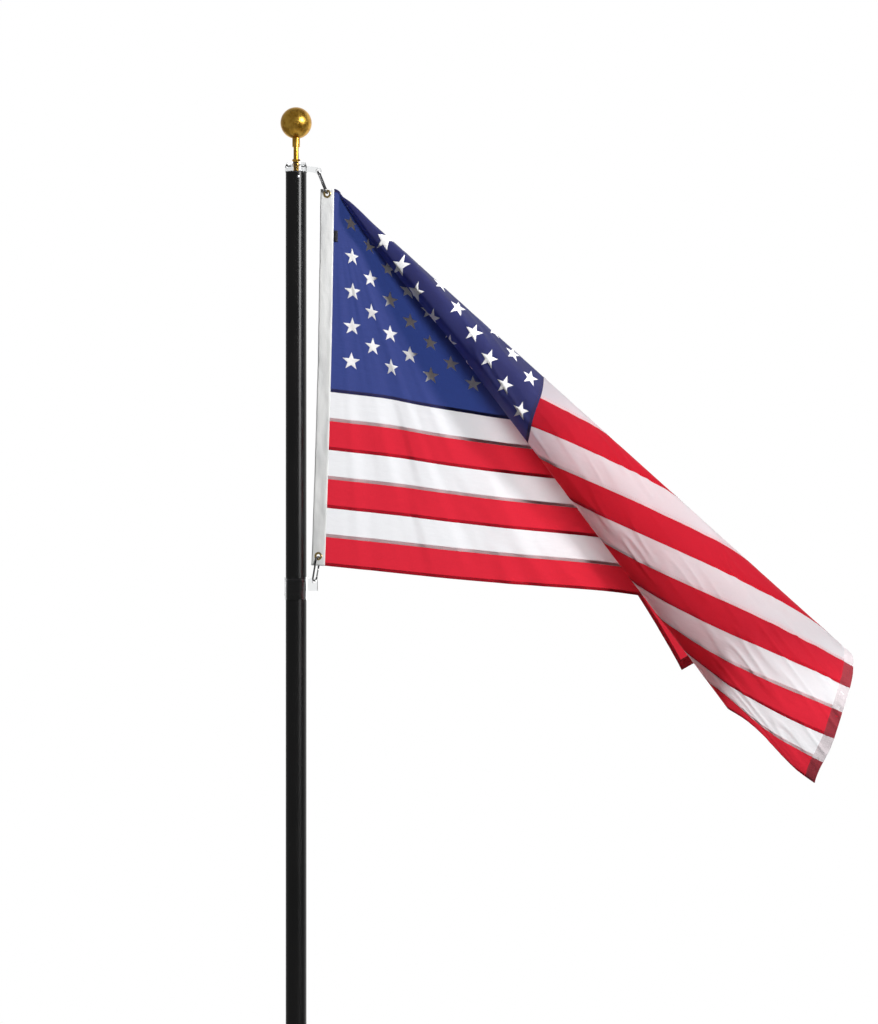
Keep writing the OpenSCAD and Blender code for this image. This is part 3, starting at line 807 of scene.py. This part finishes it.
def makeHeader():
    lean = math.radians(flag["lean"])
    down = np.array([-math.sin(lean), 0, -math.cos(lean)])
    out = np.array([math.cos(lean), 0, -math.sin(lean)])
    width = flag["headerWidth"]
    holes = []
    for name in header["grommets"]:
        low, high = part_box(name)
        middle = np.array((low + high) / 2) - corner
        turn = np.linspace(0, 2 * np.pi, header["holePoints"], endpoint=False)
        holes.append(np.stack([middle @ out + header["holeRadius"] * np.cos(turn),
                               middle @ down + header["holeRadius"] * np.sin(turn)], -1))
    sLine = np.linspace(-width, 0, int(width / header["step"]) + 1)
    tLine = np.linspace(0, flag["hoist"], int(flag["hoist"] / header["step"]) + 1)
    points, faces = triangulate(sLine, tLine, holes, header["clear"])
    centres = points[faces].mean(1)
    pierced = insideLoop(centres, holes[0]) | insideLoop(centres, holes[1])
    faces = faces[~pierced]
    slack = np.ones(len(points))
    for hole in holes:
        away = np.linalg.norm(points - hole.mean(0), axis=1) - header["holeRadius"]
        slack *= ease(*header["holeReach"], away)
    s, t = points[:, 0], points[:, 1]
    slack *= ease(*header["seamReach"], -s)
    wavy = softNoise(t / 0.05 + s * 16, s / 0.02, 21)
    wavy = wavy + 0.5 * softNoise(t / 0.02 - s * 30, s / 0.012, 22)
    flatPlace = corner + (s + hoistBow(t))[:, None] * out + t[:, None] * down
    faceWay = np.array([0, -1.0, 0])
    ripple = (header["ripple"] * slack * wavy)[:, None] * faceWay
    inset = np.minimum(s + width, -s)
    edgeThin = header["edge"] + (1 - header["edge"]) * ease(*header["edgeReach"], inset)
    half = (header["thick"] / 2 * edgeThin)[:, None] * faceWay
    # edges that only one face has make the rim
    way = np.concatenate([faces[:, [0, 1]], faces[:, [1, 2]], faces[:, [2, 0]]])
    index, uses = np.unique(np.sort(way, axis=1), axis=0, return_index=True, return_counts=True)[1:]
    rim = way[index[uses == 1]]
    n = len(points)
    maker = MeshMaker()
    solid = faces[:, ::-1].tolist() + (faces + n).tolist()
    solid += [[a, b, b + n, a + n] for a, b in rim.tolist()]
    places = np.concatenate([flatPlace + ripple + half, flatPlace + ripple - half])
    maker.points.append(places)
    maker.cuts.append(np.concatenate([points, points]))
    maker.faces += solid
    maker.looks += [0] * len(solid)
    maker.count = len(places)
    piece = maker.build("header_canvas", ["canvas"])
    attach(piece, "flag_set")
    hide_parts("flag_header")


makeHeader()
print("header made")

# lamps: a broad glow behind the cloth, and a soft key beside it on the fly side, a little above
lamps = [
    {"name": "backGlow", "at": (0.4, 4.2, 4.6), "aim": (0.5, 0, 4.5), "size": (2.0, 2.0), "watts": 172},
    {"name": "sideKey", "at": (2.4, -1.9, 6.85), "aim": (0.5, 0, 4.6), "size": (0.34, 0.34),
     "watts": 245},
]
for lamp in lamps:
    data = bpy.data.lights.new(lamp["name"], "AREA")
    data.shape = "RECTANGLE"
    data.size, data.size_y = lamp["size"]
    data.energy = lamp["watts"]
    light = bpy.data.objects.new(lamp["name"], data)
    light.location = lamp["at"]
    toAim = Vector(lamp["aim"]) - Vector(lamp["at"])
    light.rotation_euler = toAim.to_track_quat("-Z", "Y").to_euler()
    light.visible_camera = False
    light.visible_glossy = False
    scene.collection.objects.link(light)

# room: white where it is seen, dim as light, and dark in front for what reflects it
# a bright panel on the fly side gives the pole its highlight
room = {"light": 0.045, "frontGloss": 0.24, "glossReach": (0.3, 1.0), "seenReach": (-0.1, 0.3),
        "panelWay": (0.914, -0.405), "panelHalf": 0.25, "panelLevel": 27.0, "panelSide": (0.2, 0.4),
        "panelRise": (-0.14, 0.2), "panelFall": (0.25, 0.5)}


def makeRoom():
    world = bpy.data.worlds.new("paleRoom")
    scene.world = world
    finish = Finish(world)
    way = finish.add("TexCoord", out=0)
    aside, behind, up = [finish.add("SeparateXYZ", {}, (way,), k) for k in (0, 1, 2)]
    panelX, panelY = room["panelWay"]
    toward = aside * panelX + behind * panelY
    off = finish.add("Math", {"operation": "ABSOLUTE"}, (aside * panelY - behind * panelX,))
    panel = off.ramp(0, room["panelHalf"], 1.0, 0.0) * toward.ramp(*room["panelSide"])
    panel = panel * up.ramp(*room["panelRise"]) ** 3 * up.ramp(*room["panelFall"], 1.0, 0.0)
    gloss = behind.ramp(*room["glossReach"], room["frontGloss"], 1.0) + panel * room["panelLevel"]
    camera, diffuse, glossy, passed = [finish.add("LightPath", out=k) for k in (0, 2, 3, 6)]
    clear = passed * (1 - diffuse) * behind.ramp(*room["seenReach"])
    seen = finish.add("Math", {"operation": "MAXIMUM"}, (camera, clear))
    level = room["light"] + seen * (1 - room["light"]) + glossy * (1 - passed) * (gloss - room["light"])
    shader = finish.add("Background", {}, {"Color": rgb(1, 1, 1), "Strength": level})
    finish.add("OutputWorld", {}, {"Surface": shader})


# the floor goes white away from the foot, where it is seen
floor = {"half": 7.0, "lines": 24, "height": -0.0005, "reach": (0.15, 2.2), "nearWhite": 0.45}


def makeFloor():
    line = np.linspace(-floor["half"], floor["half"], floor["lines"])
    x, y = np.meshgrid(line, line)
    data = bpy.data.meshes.new("paleFloor")
    points = np.stack([x.ravel(), y.ravel(), np.full(x.size, floor["height"])], -1)
    data.from_pydata(points.tolist(), [], gridFaces(*x.shape)[:, ::-1].tolist())
    finish = newFinish("paleFloor")
    mottle = finish.noise(finish.place(), 3.0, 4.0)
    colour = finish.tint(mottle.ramp(0.3, 0.7), rgb(0.84, 0.84, 0.85), rgb(0.88, 0.88, 0.88))
    body = finish.principled({"Base Color": colour, "Roughness": 0.8})
    reach = finish.add("VectorMath", {"operation": "LENGTH"}, (finish.place(),), 1)
    far = finish.add("LightPath") * reach.ramp(*floor["reach"], floor["nearWhite"], 1.0)
    white = finish.add("Emission", {}, {"Color": rgb(1, 1, 1)})
    data.materials.append(finish.show(finish.add("MixShader", {}, (far, body, white))))
    piece = bpy.data.objects.new("paleFloor", data)
    scene.collection.objects.link(piece)


makeRoom()
makeFloor()
print("room and lamps set")
